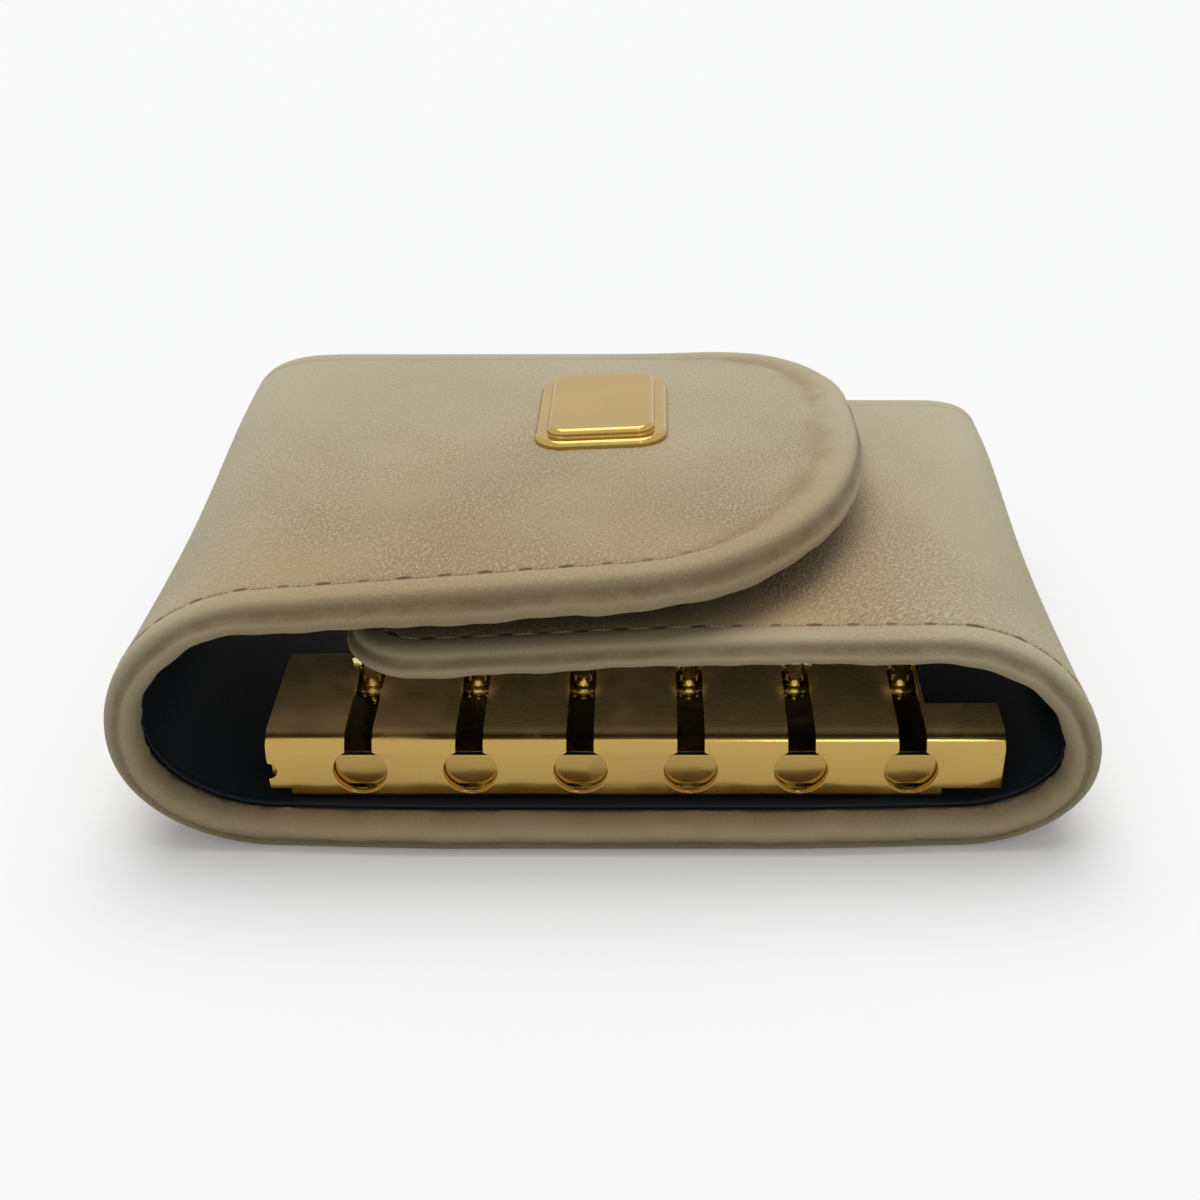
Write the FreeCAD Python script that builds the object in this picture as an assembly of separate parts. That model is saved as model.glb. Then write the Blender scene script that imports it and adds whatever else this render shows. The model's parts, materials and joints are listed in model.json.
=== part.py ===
import FreeCAD, Part
import math
import os

from FreeCAD import Placement, Rotation, Vector

# A folded leather key case, closed, lying on its back panel. Millimetres.
# X runs along the key bar, +Y from the open front to the back, +Z up.
# The origin is the bottom centre of the case.

# Closed case
case_width = 100.0
case_depth = 65.0
right_height = 26.2       # outer height over the right bend, at the front
wedge_drop = 5.0          # both flaps lie this much lower at the back
side_taper = 2.8          # each bend lies this much further in at the back
back_low_radius = 12.8    # the bends at the back, round below
back_top_radius = 5.5     # and tighter above
tight_turn = 95.0         # degrees round the bend where the tighter arc starts
left_slope = 2.5          # degrees, the left flap rises towards its tip
seam_gap = 0.3            # between the leather of one panel and the next
foot = 0.05               # pressed flat where the case lies

# Layers of the wall, from outside
leather = 1.1
padding = 1.3
lining = 0.8
glue_gap = 0.02
rim = 3.0                 # width of the turned edge
rim_gap = 0.1

# Outlines of the flaps
left_reach = 78.7         # from the outside of the left bend to the tip
left_front_corner = 27.0  # along the front edge
left_end_straight = 7.5   # of the end, between its two corners
left_back_corner = 18.5
right_reach = 75.0        # from the outside of the right bend to the tip
right_corner = 7.0

# Snap fastener
snap_from_tip = 13.7      # behind the tip of the left flap
snap_y = -1.0
snap_gap = 0.1
cap_diameter = 9.0
cap_thickness = 0.5
post_diameter = 2.4
flare_diameter = 3.4
flare_thickness = 0.4
socket_diameter = 11.0
socket_height = 2.3
socket_roof = 0.6
socket_bevel = 0.6
socket_bore = 5.2
spring_wire = 0.6         # square wire
spring_radius = 2.6       # to the middle of the wire
spring_split = 40.0       # degrees left open
stud_flange = 10.0
stud_flange_thickness = 0.5
stud_lift = 0.35          # the flange sits square to the socket on a sloping flap
snap_play = 0.7           # between the socket and the flange when the snap is closed
stud_head = 3.6
stud_neck = 3.0
stud_head_height = 0.8
head_roof_gap = 0.3

# Plaque on the left flap
plaque_from_tip = 29.7
plaque_y = 10.0
plaque_width = 15.0
plaque_length = 21.0
plaque_corner = 3.5
plaque_base = 1.2
plaque_crown = 0.9
plaque_step = 1.4
plaque_bevel = 0.4
prong_diameter = 1.4
prong_spacing = 10.0
prong_washer = 4.0
prong_washer_thickness = 0.4
prong_gap = 0.1

# Key bar, one folded sheet
bar_end_room = 11.6       # between the ends of the bar and the sides of the case, on average
bar_center = 3.0
bar_setback = 4.2         # front wall behind the front edge of the case
bar_height = 8.0
bar_sheet = 0.8
bar_top_depth = 15.7
bar_base_depth = 21.5
base_left_step = 2.2      # the base is shorter than the front wall
base_right_step = 6.2
bar_top_bend = 2.2
bar_low_bend = 1.0
bar_end_lift = 1.45       # the ends of the front wall clear the bends of the case
bar_notch_width = 7.7     # rear right corner of the top plate
bar_notch_depth = 9.4
thumb_notch = 0.95        # radius, left end of the front wall

# Keyhole slots
hook_count = 6
hook_end_room = 9.65      # from the ends of the bar to the end slots
hole_diameter = 5.6
hole_height = 3.7         # hole centre above the underside of the bar
slot_width = 2.8
slot_bridge = 2.4         # metal left behind the slots

# Lock strip behind the front wall
strip_sheet = 0.7
strip_gap = 0.2
strip_lift = 0.5          # clears the bend under the front wall
strip_height = 3.8
strip_web = 1.0
strip_travel = 5.5
strip_cutout = 5.4
guide_width = 3.0
guide_sheet = 0.8
guide_height = 2.6

# Rivets through the base of the bar
rivet_end_room = 7.0      # from the ends of the base
rivet_rear = 2.9          # from the rear edge of the base
rivet_head = 4.6
rivet_head_height = 0.9
rivet_bevel = 0.6
rivet_shank = 2.0
rivet_tail = 3.2
rivet_tail_thickness = 0.4
washer_diameter = 4.4
washer_thickness = 0.4
rivet_gap = 0.1

# Hook carrier in the slot
carrier_head = 4.4
carrier_head_height = 1.0
carrier_gap = 0.2
carrier_neck = 2.2
carrier_rear_gap = 0.3
lug_width = 1.2
lug_length = 2.4
lug_lift = 0.3
pin_height = 1.9          # pin above the top plate
pin_diameter = 1.1
pin_length = 3.9

# Hook
hook_droop = 6.0          # degrees
hook_sheet = 1.4
ear_gap = 0.2
ear_sheet = 0.9
ear_diameter = 2.6
ear_bore = 1.28
ear_length = 5.0
shank_start = 3.4
eye_start = 6.0
eye_length = 22.0
eye_width = 8.0
eye_wire = 1.5
eye_head = 4.0            # metal between the fork and the eye's opening
mouth_start = 14.0
mouth_length = 8.0

# Gate of the hook
gate_sheet = 0.4
gate_height = 1.0
gate_gap = 0.2
gate_root = 1.0
gate_root_gap = 0.15
gate_root_y = 8.2
gate_lap = 2.0            # how far the gate reaches behind the nose
gate_swing = 12.0         # degrees

over = 1.0                # cutting tools reach this far past what they cut

# Derived places
wall = leather + padding + lining
front_y = -case_depth / 2
back_y = case_depth / 2
left_tip = left_reach - case_width / 2
left_front_sweep = case_depth - left_back_corner - left_end_straight
right_tip = case_width / 2 - right_reach
snap_x = left_tip - snap_from_tip
snap_room = socket_height + snap_play + stud_flange_thickness + stud_lift
plaque_x = left_tip - plaque_from_tip
bar_length = case_width - 2 * bar_end_room
bar_front_y = front_y + bar_setback
bar_left = bar_center - bar_length / 2
bar_right = bar_center + bar_length / 2
base_left = bar_left + base_left_step
base_right = bar_right - base_right_step
bar_bottom = wall
bar_top = bar_bottom + bar_height
bar_top_rear = bar_front_y + bar_top_depth
bar_base_rear = bar_front_y + bar_base_depth
slot_end = bar_top_rear - slot_bridge
carrier_y = slot_end - carrier_neck / 2 - carrier_rear_gap
pin_z = bar_top + pin_height
hook_pitch = (bar_length - 2 * hook_end_room) / (hook_count - 1)
hook_xs = [bar_left + hook_end_room + hook_pitch * i for i in range(hook_count)]

Z = Vector(0, 0, 1)
os.makedirs("parts", exist_ok=True)


def save(name, shape):
    shape.exportStep("parts/" + name + ".step")


# Small solids
def cylinder(diameter, start, length, direction=Z):
    return Part.makeCylinder(diameter / 2, length, start, direction)


def box(x0, x1, y0, y1, z0, z1):
    return Part.makeBox(x1 - x0, y1 - y0, z1 - z0, Vector(x0, y0, z0))


def prism(points, z0, z1):
    wire = Part.makePolygon([Vector(x, y, z0) for x, y in points + points[:1]])
    return Part.Face(wire).extrude(Vector(0, 0, z1 - z0))


def rounded_box(width, length, corner, z0, z1):
    block = box(-width / 2, width / 2, -length / 2, length / 2, z0, z1)
    upright = [e for e in block.Edges if abs(e.tangentAt(e.FirstParameter).z) > 0.9]
    return block.makeFillet(corner, upright)


def stadium(width, y0, y1, z0, z1):
    ends = [cylinder(width, Vector(0, y, z0), z1 - z0) for y in (y0 + width / 2, y1 - width / 2)]
    middle = box(-width / 2, width / 2, y0 + width / 2, y1 - width / 2, z0, z1)
    return middle.fuse(ends).removeSplitter()


# The folded wall. Each bend is three arcs that follow each other smoothly. They have
# one radius at the front, and the upper one is tighter towards the back.
# Degrees of turn round a bend: lower seam, start of the tighter arc, upper seam, end.
def bend_turns(side):
    turn = 180.0 - left_slope if side == "left" else 180.0
    return turn / 4, tight_turn, 3 * turn / 4, turn


# Centre and radius of the three arcs, in the plane of y, with x outwards
def bend_arcs(side, tall, y):
    low, tight = [math.radians(t) for t in bend_turns(side)[:2]]
    back = (y - front_y) / case_depth
    low_radius = tall / 2 + (back_low_radius - tall / 2) * back
    top_radius = tall / 2 + (back_top_radius - tall / 2) * back
    rest = tall - wedge_drop * back - low_radius * (1 - math.cos(low)) - top_radius * (1 + math.cos(tight))
    side_radius = rest / (math.cos(low) - math.cos(tight))
    x = case_width / 2 - side_taper * back - side_radius
    z = low_radius - (low_radius - side_radius) * math.cos(low)
    return [
        (x - (low_radius - side_radius) * math.sin(low), low_radius, low_radius),
        (x, z, side_radius),
        (x + (side_radius - top_radius) * math.sin(tight), z - (side_radius - top_radius) * math.cos(tight),
         top_radius),
    ]


def arc_point(side, y, arc, inset, turn):
    x, z, radius = arc
    angle = math.radians(turn)
    out = x + (radius - inset) * math.sin(angle)
    return Vector(-out if side == "left" else out, y, z - (radius - inset) * math.cos(angle))


def flap_slope(side):
    return math.tan(math.radians(left_slope)) if side == "left" else 0.0


# Height of a flap's outer face, over a bend that is so tall at the front
def flap_top(side, tall, x, y):
    end = arc_point(side, y, bend_arcs(side, tall, y)[2], 0, bend_turns(side)[3])
    return end.z + (x - end.x) * flap_slope(side)


# The left flap lies over the right one by the height of the closed snap
def closed_height():
    needed = flap_top("right", right_height, snap_x, snap_y) + wall + snap_room
    low, high = [flap_top("left", tall, snap_x, snap_y) for tall in (right_height, 2 * right_height)]
    return right_height * (1 + (needed - low) / (high - low))


left_height = closed_height()
sky = 2 * left_height
bend_height = {"left": left_height, "right": right_height}


def bend_arc(side, y, which, inset, start, end):
    arc = bend_arcs(side, bend_height[side], y)[which]
    return Part.Arc(*[arc_point(side, y, arc, inset, turn) for turn in (start, (start + end) / 2, end)])


# Half of the gap at a seam, in degrees of turn, less what reaches past the seam
def seam_step(side, y, which, past):
    return math.degrees((seam_gap / 2 - past) / bend_arcs(side, bend_height[side], y)[which][2])


def back_run(side, y, inset, past):
    right_end, left_end = [bend_turns(end)[0] - seam_step(end, y, 0, past) for end in ("right", "left")]
    right_arc = bend_arc("right", y, 0, inset, right_end, 0)
    left_arc = bend_arc("left", y, 0, inset, 0, left_end)
    return [right_arc, Part.LineSegment(right_arc.EndPoint, left_arc.StartPoint), left_arc]


def fold_run(side, y, inset, past):
    low, tight, high = bend_turns(side)[:3]
    return [bend_arc(side, y, 1, inset, low + seam_step(side, y, 1, past), tight),
            bend_arc(side, y, 2, inset, tight, high - seam_step(side, y, 2, past))]


def flap_run(side, y, inset, past):
    high, end = bend_turns(side)[2:]
    arc = bend_arc(side, y, 2, inset, high + seam_step(side, y, 2, past), end)
    run = case_width if side == "left" else -case_width
    far = arc.EndPoint + Vector(run, 0, run * flap_slope(side))
    return [arc, Part.LineSegment(arc.EndPoint, far)]


def wall_section(run, side, y, outer, inner, past):
    outside = run(side, y, outer, past)
    inside = run(side, y, inner, past)
    start = Part.LineSegment(inside[0].StartPoint, outside[0].StartPoint)
    end = Part.LineSegment(outside[-1].EndPoint, inside[-1].EndPoint)
    curves = outside + [end] + inside[::-1] + [start]
    return Part.Wire(Part.__sortEdges__([c.toShape() for c in curves]))


def wall_layer(run, side, outer, inner, inset, past=0):
    ends = [wall_section(run, side, y, outer, inner, past) for y in (front_y + inset, back_y - inset)]
    return Part.makeLoft(ends, True, True)


# Plan outline of a flap, as a tall prism. The left flap's front corner is a quarter of an ellipse.
def flap_prism(side, inset):
    near, far = front_y + inset, back_y - inset
    if side == "left":
        start, tip, way = -case_width, left_tip - inset, 1
        front = left_front_corner - inset, left_front_sweep - inset
        back = left_back_corner - inset, left_back_corner - inset
    else:
        start, tip, way = case_width, right_tip + inset, -1
        front = back = right_corner - inset, right_corner - inset
    half = math.sqrt(0.5)

    def corner(y, along, sweep, up):
        center = Vector(tip - way * along, y + up * sweep, 0)
        side_on = center - Vector(0, up * sweep, 0)
        slant = center + Vector(way * along * half, -up * sweep * half, 0)
        end_on = center + Vector(way * along, 0, 0)
        if math.isclose(along, sweep):
            return side_on, Part.Arc(side_on, slant, end_on), end_on
        ends = (side_on, end_on) if sweep > along else (end_on, side_on)
        return side_on, Part.ArcOfEllipse(Part.Ellipse(*ends, center), 0, math.pi / 2), end_on

    front_side, front_curve, front_end = corner(near, *front, 1)
    back_side, back_curve, back_end = corner(far, *back, -1)
    front_start, back_start = Vector(start, near, 0), Vector(start, far, 0)
    curves = [
        Part.LineSegment(front_start, front_side),
        front_curve,
        Part.LineSegment(front_end, back_end),
        back_curve,
        Part.LineSegment(back_side, back_start),
        Part.LineSegment(back_start, front_start),
    ]
    face = Part.Face(Part.Wire(Part.__sortEdges__([c.toShape() for c in curves])))
    return face.extrude(Vector(0, 0, sky))


# Leather with its turned rim, and the padding and lining inside the rim
def wall_stack(run, side):
    skin = wall_layer(run, side, -foot if run is back_run else 0, wall, 0)
    pocket = wall_layer(run, side, leather, wall + over, rim, over)
    fill = wall_layer(run, side, leather + glue_gap, leather + padding - glue_gap, rim + rim_gap)
    cover = wall_layer(run, side, leather + padding, wall, rim + rim_gap)
    if run is flap_run:
        skin = skin.common(flap_prism(side, 0))
        pocket = pocket.common(flap_prism(side, rim))
        inner = flap_prism(side, rim + rim_gap)
        fill = fill.common(inner)
        cover = cover.common(inner)
    if run is back_run:
        skin = skin.cut(box(-case_width, case_width, front_y - over, back_y + over, -over, 0))
    return skin.cut(pocket), fill, cover


# A place on a flap: origin on its outer surface, local Z outwards
def flap_place(side, x, y):
    def top(x, y):
        return flap_top(side, bend_height[side], x, y)

    here = top(x, y)
    normal = Vector(here - top(x + over, y), here - top(x, y + over), over)
    return Placement(Vector(x, y, here), Rotation(Z, normal))


def put(shape, place):
    moved = shape.copy()
    moved.Placement = place
    return moved


back_skin, back_fill, back_cover = wall_stack(back_run, "left")
left_fold = wall_stack(fold_run, "left")
right_fold = wall_stack(fold_run, "right")
left_skin, left_fill, left_cover = wall_stack(flap_run, "left")
right_skin, right_fill, right_cover = wall_stack(flap_run, "right")

# Snap fastener. Depths are measured down from the outer face of the left flap.
snap_place = flap_place("left", snap_x, snap_y)


def below_left(depth):
    return snap_place.multVec(Vector(0, 0, -depth))


def above_right(depth):
    point = below_left(depth)
    return point.z - flap_place("right", point.x, point.y).Base.z


right_depth = above_right(0) / (above_right(0) - above_right(1))
socket_top = wall
socket_mouth = wall + socket_height
cavity_top = socket_top + socket_roof
spring_depth = socket_mouth - spring_wire
flange_depth = right_depth - stud_lift
head_top = cavity_top + flare_thickness + head_roof_gap


def snap_disc(diameter, top, bottom):
    return cylinder(diameter, Vector(0, 0, -bottom), bottom - top)


cap = snap_disc(cap_diameter, leather + glue_gap, leather + cap_thickness)
cap = cap.fuse(snap_disc(post_diameter, leather + cap_thickness / 2, cavity_top + flare_thickness))
cap = cap.fuse(snap_disc(flare_diameter, cavity_top + glue_gap, cavity_top + flare_thickness))
cap_room = snap_disc(cap_diameter + 2 * snap_gap, 0, leather + cap_thickness + snap_gap)
post_room = snap_disc(post_diameter + 2 * snap_gap, 0, right_depth + wall)

socket = snap_disc(socket_diameter, socket_top, socket_mouth)
socket_rim = [e for e in socket.Edges if e.Vertexes[0].Z < -socket_mouth + snap_gap]
socket = socket.makeChamfer(socket_bevel, socket_rim)
groove_room = spring_wire / 2 + snap_gap
groove = snap_disc(2 * (spring_radius + groove_room), spring_depth - groove_room, spring_depth + groove_room)
socket = socket.cut(snap_disc(socket_bore, cavity_top, socket_mouth)).cut(post_room).cut(groove)


# The retaining spring, an open ring of square wire
def snap_ring():
    half = spring_wire / 2
    points = [Vector(spring_radius + x, 0, -spring_depth + z)
              for x, z in ((-half, -half), (half, -half), (half, half), (-half, half))]
    face = Part.Face(Part.makePolygon(points + points[:1]))
    return face.revolve(Vector(0, 0, 0), Z, 360 - spring_split)


spring = snap_ring()

stud = snap_disc(stud_flange, flange_depth - stud_flange_thickness, flange_depth)
stud = stud.fuse(snap_disc(stud_neck, head_top + stud_head_height / 2, flange_depth))
stud = stud.fuse(snap_disc(stud_head, head_top, head_top + stud_head_height))
stud = stud.cut(snap_disc(post_diameter, head_top + stud_head_height, flange_depth + over))
stud_base = right_depth + wall - lining - stud_lift
stud_post = snap_disc(cap_diameter, stud_base - cap_thickness, stud_base - glue_gap)
stud_post = stud_post.fuse(snap_disc(post_diameter - 2 * snap_gap, head_top + stud_head_height + snap_gap,
                                     stud_base - cap_thickness / 2))
stud_room = snap_disc(cap_diameter + 2 * snap_gap, stud_base - cap_thickness - snap_gap, stud_base + 2 * stud_lift)

left_fill = left_fill.cut(put(cap_room, snap_place)).cut(put(post_room, snap_place))
left_cover = left_cover.cut(put(post_room, snap_place))
right_post_room = put(snap_disc(post_diameter + 2 * snap_gap, right_depth - over, stud_base), snap_place)
right_skin = right_skin.cut(right_post_room)
right_fill = right_fill.cut(right_post_room).cut(put(stud_room, snap_place))

# Plaque, its prongs through the leather, and their washers
plaque_place = flap_place("left", plaque_x, plaque_y)
prong_ends = [Vector(0, way * prong_spacing / 2, 0) for way in (-1, 1)]
washer_top = leather + padding - glue_gap - prong_washer_thickness


def plaque_body():
    low = rounded_box(plaque_width, plaque_length, plaque_corner, glue_gap, plaque_base)
    top = rounded_box(plaque_width - 2 * plaque_step, plaque_length - 2 * plaque_step,
                      plaque_corner - plaque_step, plaque_base, plaque_base + plaque_crown)
    low_top = [e for e in low.Edges if e.BoundBox.ZMin > plaque_base - glue_gap]
    crown_top = [e for e in top.Edges if e.BoundBox.ZMin > plaque_base + plaque_crown - glue_gap]
    body = low.makeChamfer(plaque_bevel, low_top).fuse(top.makeChamfer(plaque_bevel, crown_top))
    for end in prong_ends:
        foot = end - Vector(0, 0, washer_top + prong_washer_thickness)
        body = body.fuse(cylinder(prong_diameter, foot, washer_top + prong_washer_thickness + plaque_base / 2))
    return body.removeSplitter()


def prong_tools(diameter, top, bottom):
    return Part.makeCompound([cylinder(diameter, end - Vector(0, 0, bottom), bottom - top) for end in prong_ends])


prong_hole = prong_diameter + 2 * prong_gap
washers = [cylinder(prong_washer, end - Vector(0, 0, washer_top + prong_washer_thickness), prong_washer_thickness)
           .cut(cylinder(prong_hole, end - Vector(0, 0, wall), wall)) for end in prong_ends]
left_skin = left_skin.cut(put(prong_tools(prong_hole, -over, leather + padding), plaque_place))
left_fill = left_fill.cut(put(prong_tools(prong_hole, 0, leather + padding), plaque_place))
left_fill = left_fill.cut(put(prong_tools(prong_washer + 2 * prong_gap, washer_top - prong_gap,
                                          leather + padding), plaque_place))


# Key bar: base, front wall and top plate folded from one sheet
def bar_profile(inset):
    y0, z0, z1 = bar_front_y + inset, bar_bottom + inset, bar_top - inset
    low, high = bar_low_bend - inset, bar_top_bend - inset
    half = 1 - math.sqrt(0.5)

    def point(y, z):
        return Vector(0, y, z)

    base_end = point(y0 + low, z0)
    wall_start = point(y0, z0 + low)
    wall_end = point(y0, z1 - high)
    top_start = point(y0 + high, z1)
    return [
        Part.LineSegment(point(bar_base_rear, z0), base_end),
        Part.Arc(base_end, point(y0 + low * half, z0 + low * half), wall_start),
        Part.LineSegment(wall_start, wall_end),
        Part.Arc(wall_end, point(y0 + high * half, z1 - high * half), top_start),
        Part.LineSegment(top_start, point(bar_top_rear, z1)),
    ]


def folded_bar():
    outside, inside = bar_profile(0), bar_profile(bar_sheet)
    ends = [Part.LineSegment(outside[0].StartPoint, inside[0].StartPoint),
            Part.LineSegment(outside[-1].EndPoint, inside[-1].EndPoint)]
    wire = Part.Wire(Part.__sortEdges__([c.toShape() for c in outside + inside + ends]))
    bar = Part.Face(wire).extrude(Vector(bar_length, 0, 0))
    bar.translate(Vector(bar_left, 0, 0))
    behind = bar_front_y + bar_low_bend
    above = bar_bottom + bar_low_bend
    lifted = bar_bottom + bar_end_lift
    for x0, x1 in ((bar_left - over, base_left), (base_right, bar_right + over)):
        bar = bar.cut(box(x0, x1, behind, bar_base_rear + over, bar_bottom - over, above))
        bar = bar.cut(box(x0, x1, bar_front_y - over, behind + over, bar_bottom - over, lifted))
    notch = box(bar_right - bar_notch_width, bar_right + over, bar_top_rear - bar_notch_depth,
                bar_top_rear + over, bar_top - 2 * bar_sheet, bar_top + over)
    return bar.cut(notch)


def cut_keyholes(bar):
    through = bar_sheet + 2 * over
    for x in hook_xs:
        hole = cylinder(hole_diameter, Vector(x, bar_front_y - over, bar_bottom + hole_height), through,
                        Vector(0, 1, 0))
        slot = box(x - slot_width / 2, x + slot_width / 2, bar_front_y - over, slot_end - slot_width / 2,
                   bar_bottom + hole_height, bar_top + over)
        end = cylinder(slot_width, Vector(x, slot_end - slot_width / 2, bar_top - 2 * bar_sheet),
                       2 * bar_sheet + over)
        bar = bar.cut([hole, slot, end])
    return bar


def guide_places():
    return [(a + b) / 2 for a, b in zip(hook_xs[:-1:2], hook_xs[1::2])]


strip_front = bar_front_y + bar_sheet + strip_gap
strip_back = strip_front + strip_sheet
strip_bottom = bar_bottom + bar_sheet + strip_lift
rivet_y = bar_base_rear - rivet_rear
rivet_xs = [base_left + rivet_end_room, base_right - rivet_end_room]

key_bar = cut_keyholes(folded_bar())
thumb = cylinder(2 * thumb_notch, Vector(bar_left, bar_front_y - over, bar_bottom + hole_height),
                 bar_sheet + 2 * over, Vector(0, 1, 0))
key_bar = key_bar.cut(thumb)
for x in guide_places():
    key_bar = key_bar.fuse(box(x - guide_width / 2, x + guide_width / 2, strip_back + strip_gap,
                               strip_back + strip_gap + guide_sheet, bar_bottom + bar_sheet / 2,
                               bar_bottom + bar_sheet + guide_height))
for x in rivet_xs:
    key_bar = key_bar.cut(cylinder(rivet_shank + 2 * rivet_gap, Vector(x, rivet_y, 0),
                                   bar_bottom + bar_sheet + over))
key_bar = key_bar.removeSplitter()

# Lock strip
lock_strip = box(bar_left + strip_gap, bar_right - strip_travel - strip_gap, strip_front, strip_back,
                 strip_bottom, strip_bottom + strip_height)
for x in hook_xs:
    middle = x - strip_travel
    lock_strip = lock_strip.cut(box(middle - strip_cutout / 2, middle + strip_cutout / 2, strip_front - over,
                                    strip_back + over, strip_bottom + strip_web, bar_top))


# Rivets, headed on the bar and clenched over washers inside the padding
def rivet(x):
    seat = bar_bottom + bar_sheet + glue_gap
    foot = leather + 2 * glue_gap
    dome = cylinder(rivet_head, Vector(x, rivet_y, seat), rivet_head_height)
    top = [e for e in dome.Edges if e.BoundBox.ZMin > seat + rivet_head_height / 2]
    dome = dome.makeChamfer(rivet_bevel, top)
    shank = cylinder(rivet_shank, Vector(x, rivet_y, foot), seat - foot + rivet_head_height / 2)
    tail = cylinder(rivet_tail, Vector(x, rivet_y, foot), rivet_tail_thickness)
    return dome.fuse([shank, tail]).removeSplitter()


def rivet_washer(x):
    bottom = leather + 3 * glue_gap + rivet_tail_thickness
    disc = cylinder(washer_diameter, Vector(x, rivet_y, bottom), washer_thickness)
    return disc.cut(cylinder(rivet_shank + 2 * rivet_gap, Vector(x, rivet_y, 0), wall))


for x in rivet_xs:
    shank_room = cylinder(rivet_shank + 2 * rivet_gap, Vector(x, rivet_y, leather), wall)
    washer_room = cylinder(washer_diameter + 2 * rivet_gap, Vector(x, rivet_y, leather),
                           rivet_tail_thickness + washer_thickness + rivet_gap)
    back_fill = back_fill.cut([shank_room, washer_room])
    back_cover = back_cover.cut(shank_room)


# Hook carrier: head under the top plate, neck in the slot, lug and pin above it
def hook_carrier(x):
    head_top = bar_top - bar_sheet - carrier_gap
    center = Vector(x, carrier_y, 0)
    head = cylinder(carrier_head, center + Z * (head_top - carrier_head_height), carrier_head_height)
    neck = cylinder(carrier_neck, center + Z * (head_top - carrier_head_height / 2),
                    bar_top + lug_lift - head_top + carrier_head_height / 2)
    lug = box(x - lug_width / 2, x + lug_width / 2, carrier_y - lug_length / 2, carrier_y + lug_length / 2,
              bar_top + lug_lift / 2, pin_z)
    across = Vector(1, 0, 0)
    crown = cylinder(lug_length, Vector(x - lug_width / 2, carrier_y, pin_z), lug_width, across)
    pin = cylinder(pin_diameter, Vector(x - pin_length / 2, carrier_y, pin_z), pin_length, across)
    return head.fuse([neck, lug, crown, pin]).removeSplitter()


# Hook, flat, with its pin at the origin and its eye towards +Y
eye_inner = eye_width - 2 * eye_wire
eye_end = eye_start + eye_length
eye_open_start = eye_start + eye_head
gate_x = -eye_inner / 2 + gate_gap + gate_sheet / 2
gate_end = mouth_start + mouth_length + gate_lap


def hook_blank():
    low, high = -hook_sheet / 2, hook_sheet / 2
    fork = lug_width / 2 + ear_gap + ear_sheet
    blank = stadium(eye_width, eye_start, eye_end, low, high)
    blank = blank.fuse(box(-fork, fork, shank_start, eye_start + eye_width / 2, low, high))
    blank = blank.cut(stadium(eye_inner, eye_open_start, eye_end - eye_wire, low - over, high + over))
    return blank.cut(box(-eye_width, -eye_inner / 4, mouth_start, mouth_start + mouth_length,
                         low - over, high + over))


def hook_ears():
    inner = lug_width / 2 + ear_gap
    ears = []
    for start in (inner, -inner - ear_sheet):
        ear = box(start, start + ear_sheet, 0, ear_length, -ear_diameter / 2, ear_diameter / 2)
        ears.append(ear.fuse(cylinder(ear_diameter, Vector(start, 0, 0), ear_sheet, Vector(1, 0, 0))))
    return ears


def gate_room():
    tall = hook_sheet / 2 + over
    reach = eye_open_start + eye_inner / 2 - gate_root_y
    clear = gate_sheet / 2 + gate_gap
    swing = reach * math.tan(math.radians(gate_swing))
    slot = prism([(gate_x - clear, gate_root_y), (gate_x + clear, gate_root_y),
                  (gate_x + clear + swing, gate_root_y + reach), (gate_x - gate_gap, gate_root_y + reach)],
                 -tall, tall)
    socket = cylinder(gate_root + 2 * gate_root_gap, Vector(gate_x, gate_root_y, -tall), 2 * tall)
    return [slot, socket]


def hook_flat():
    hook = hook_blank().fuse(hook_ears())
    fork = lug_width / 2 + ear_gap + ear_sheet
    bore = cylinder(ear_bore, Vector(-fork - over, 0, 0), 2 * (fork + over), Vector(1, 0, 0))
    return hook.cut(gate_room() + [bore]).removeSplitter()


def gate_flat():
    low, high = -gate_height / 2, gate_height / 2
    leaf = box(gate_x - gate_sheet / 2, gate_x + gate_sheet / 2, gate_root_y, gate_end, low, high)
    return leaf.fuse(cylinder(gate_root, Vector(gate_x, gate_root_y, low), gate_height)).removeSplitter()


hook_shape, gate_shape = hook_flat(), gate_flat()
for number, x in enumerate(hook_xs, 1):
    hang = Placement(Vector(x, carrier_y, pin_z), Rotation(Vector(1, 0, 0), -hook_droop))
    save("hook_%d_carrier" % number, hook_carrier(x))
    save("hook_%d" % number, put(hook_shape, hang))
    save("hook_%d_gate" % number, put(gate_shape, hang))

save("outer_back_panel", back_skin)
save("back_padding", back_fill)
save("lining_back", back_cover)
for side, fold in (("left", left_fold), ("right", right_fold)):
    save("outer_%s_fold" % side, fold[0])
    save("%s_fold_padding" % side, fold[1])
    save("lining_%s_fold" % side, fold[2])
save("outer_left_flap", left_skin)
save("left_flap_padding", left_fill)
save("lining_left_flap", left_cover)
save("outer_right_flap", right_skin)
save("right_flap_padding", right_fill)
save("lining_right_flap", right_cover)
save("snap_cap", put(cap, snap_place))
save("snap_socket", put(socket, snap_place))
save("snap_spring", put(spring, snap_place))
save("snap_stud", put(stud, snap_place))
save("snap_stud_post", put(stud_post, snap_place))
save("plaque", put(plaque_body(), plaque_place))
save("plaque_washers", put(Part.makeCompound(washers), plaque_place))
save("key_bar", key_bar)
save("lock_strip", lock_strip)
save("bar_rivets", Part.makeCompound([rivet(x) for x in rivet_xs]))
save("rivet_washers", Part.makeCompound([rivet_washer(x) for x in rivet_xs]))
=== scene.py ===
import json
import math

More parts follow.
